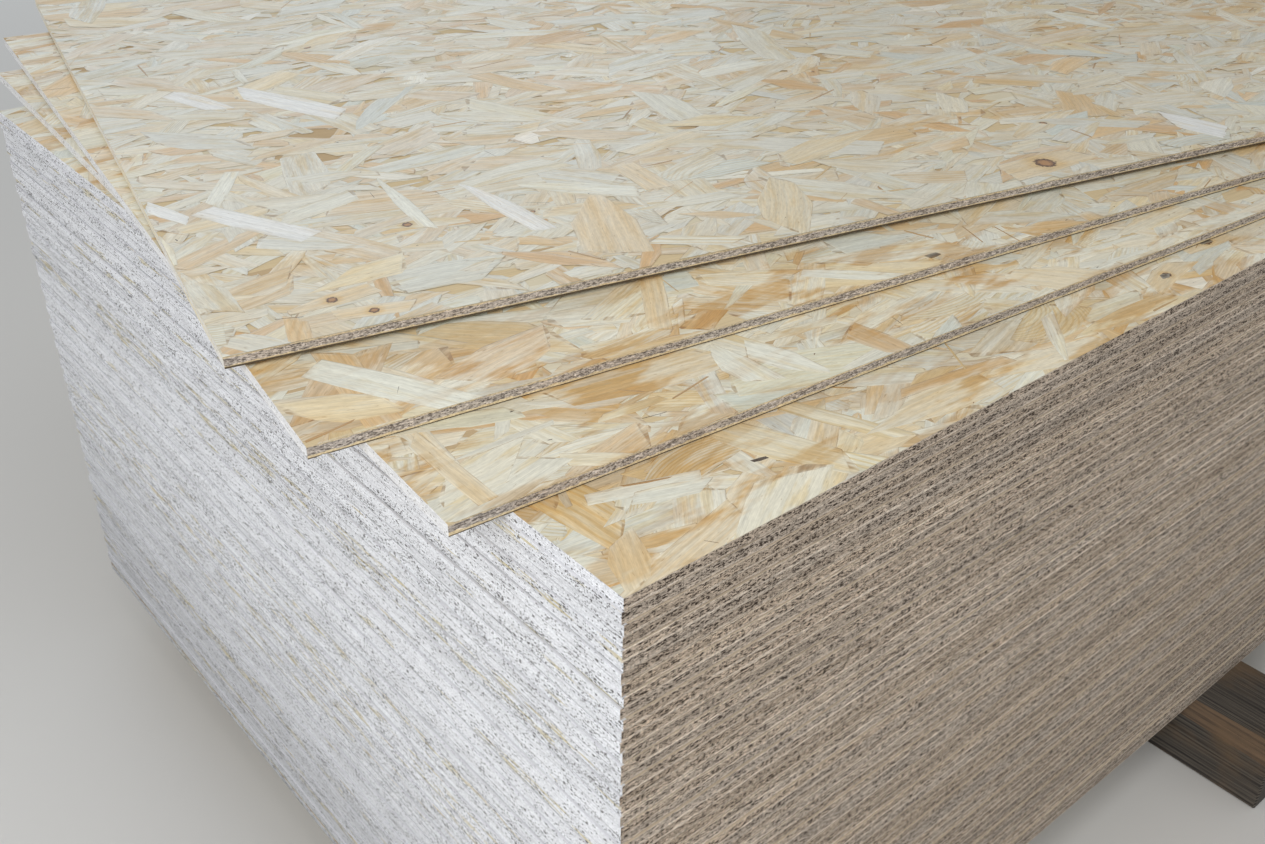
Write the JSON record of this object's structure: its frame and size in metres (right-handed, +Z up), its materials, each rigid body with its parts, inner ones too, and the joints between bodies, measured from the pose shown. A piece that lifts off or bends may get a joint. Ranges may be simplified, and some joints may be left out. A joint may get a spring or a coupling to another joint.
{
  "type": "stack of osb panels",
  "caption": "Squared-up stack of full-size oriented strand board panels lying flat on sawn timber bearers, with a few loose panels fanned out on top.",
  "frame": {"origin": "centre of the middle bearer's underside, on the floor", "axes": "+X along the panels' length, from the panels' pictured short end to their far end; +Y across the panels, away from the pictured long side; +Z up"},
  "size_m": [2.7139, 1.7604, 0.876],
  "materials": {
    "osb": "pressed wood strands, satin from the resin, with rough sawn edges",
    "bearer_timber": "weathered rough-sawn softwood"
  },
  "bodies": {
    "root": {"squared_panels": "osb", "loose_panel_lower": "osb", "loose_panel_middle": "osb", "loose_panel_upper": "osb", "bearer_left": "bearer_timber", "bearer_middle": "bearer_timber", "bearer_right": "bearer_timber"}
  },
  "joints": []
}
